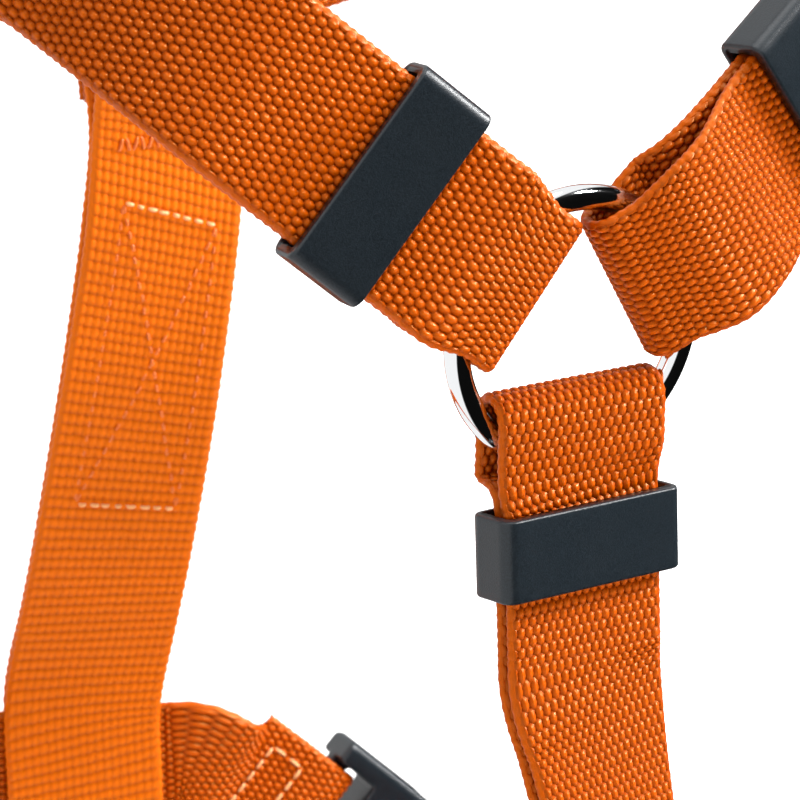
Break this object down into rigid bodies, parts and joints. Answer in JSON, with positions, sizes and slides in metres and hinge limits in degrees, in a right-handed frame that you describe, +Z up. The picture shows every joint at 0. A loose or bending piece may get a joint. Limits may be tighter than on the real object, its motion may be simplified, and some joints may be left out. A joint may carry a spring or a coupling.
{
  "type": "webbing walking harness",
  "caption": "Webbing walking harness: steel chest ring, neck, chest, back and girth straps with box keepers, web sliders, a side-release buckle and a leash dee.",
  "frame": {"origin": "middle of the inner side of the chest ring wire at its bare stretch between the left neck strap and the chest strap, where a hook bears", "axes": "+Z up as worn or hung, -Y the way the chest ring faces, +X to the left of the wearer"},
  "size_m": [0.208, 0.1692, 0.2823],
  "materials": {
    "webbing": "woven polyester webbing, matt",
    "thread": "bonded sewing thread, slight sheen",
    "plastic": "fine-grained moulded plastic",
    "steel": "polished round wire"
  },
  "bodies": {
    "harness": {"strap_neck_left": "webbing", "strap_neck_right": "webbing", "strap_chest": "webbing", "strap_back": "webbing", "strap_girth": "webbing", "dee_tab": "webbing", "buckle_socket": "plastic", "buckle_plug": "plastic", "stitch_back_box": "thread", "stitch_back_tack": "thread", "stitch_neck_left": "thread", "stitch_neck_right": "thread", "stitch_girth_tail": "thread", "stitch_girth_end": "thread", "stitch_dee_tab": "thread"},
    "ring": {"chest_ring": "steel"},
    "keeper_neck_l": {"keeper_neck_left": "plastic"},
    "keeper_neck_r": {"keeper_neck_right": "plastic"},
    "keeper_chest_b": {"keeper_chest": "plastic"},
    "keeper_girth_b": {"keeper_girth": "plastic"},
    "slider_neck_l": {"slider_neck_left": "plastic"},
    "slider_neck_r": {"slider_neck_right": "plastic"},
    "slider_girth_b": {"slider_girth": "plastic"},
    "dee": {"leash_dee": "steel"},
    "prong_l": {"buckle_prong_left": "plastic"},
    "prong_r": {"buckle_prong_right": "plastic"}
  },
  "joints": [
    {"name": "ring_spin", "type": "hinge", "parent": "harness", "child": "ring", "pos_m": [0.0137, 0, 0.00668], "axis": [0, 1, 0], "continuous": true},
    {"name": "keeper_neck_left_slide", "type": "slide", "parent": "harness", "child": "keeper_neck_l", "axis": [-0.7211, 0.2419, 0.6493], "range_m": [-0.0035, 0.0135]},
    {"name": "keeper_neck_right_slide", "type": "slide", "parent": "harness", "child": "keeper_neck_r", "axis": [0.8109, 0.2079, 0.547], "range_m": [-0.003, 0.013]},
    {"name": "keeper_chest_slide", "type": "slide", "parent": "harness", "child": "keeper_chest_b", "axis": [-0.034, -0.12, -0.9922], "range_m": [0, 0.009]},
    {"name": "keeper_girth_slide", "type": "slide", "parent": "harness", "child": "keeper_girth_b", "axis": [-0.0307, -0.9824, 0.1842], "range_m": [-0.008, 0.006]},
    {"name": "slider_neck_left_play", "type": "slide", "parent": "harness", "child": "slider_neck_l", "axis": [-0.5541, 0.6213, 0.5541], "range_m": [-0.002, 0.0002]},
    {"name": "slider_neck_right_play", "type": "slide", "parent": "harness", "child": "slider_neck_r", "axis": [0.3219, 0.8755, 0.3605], "range_m": [-0.002, 0.0002]},
    {"name": "slider_girth_play", "type": "slide", "parent": "harness", "child": "slider_girth_b", "axis": [-0.0307, -0.9824, 0.1842], "range_m": [-0.002, 0.0002]},
    {"name": "leash_dee_flip", "type": "hinge", "parent": "harness", "child": "dee", "pos_m": [0.0137, 0.1236, 0.03568], "axis": [1, 0, 0], "range_deg": [-80, 22]},
    {"name": "prong_right_pinch", "type": "hinge", "parent": "harness", "child": "prong_r", "pos_m": [0.05567, 0.1206, -0.15148], "axis": [0.1516, 0.9797, -0.1311], "range_deg": [0, 12], "stiffness_Nm_per_rad": 0.05},
    {"name": "prong_left_pinch", "type": "hinge", "parent": "harness", "child": "prong_l", "pos_m": [0.07018, 0.12035, -0.13658], "axis": [0.1516, 0.9797, -0.1311], "range_deg": [-12, 0], "stiffness_Nm_per_rad": 0.05}
  ],
  "couplings": [
    {"joint": "prong_left_pinch", "follows": "prong_right_pinch", "ratio": -1}
  ]
}
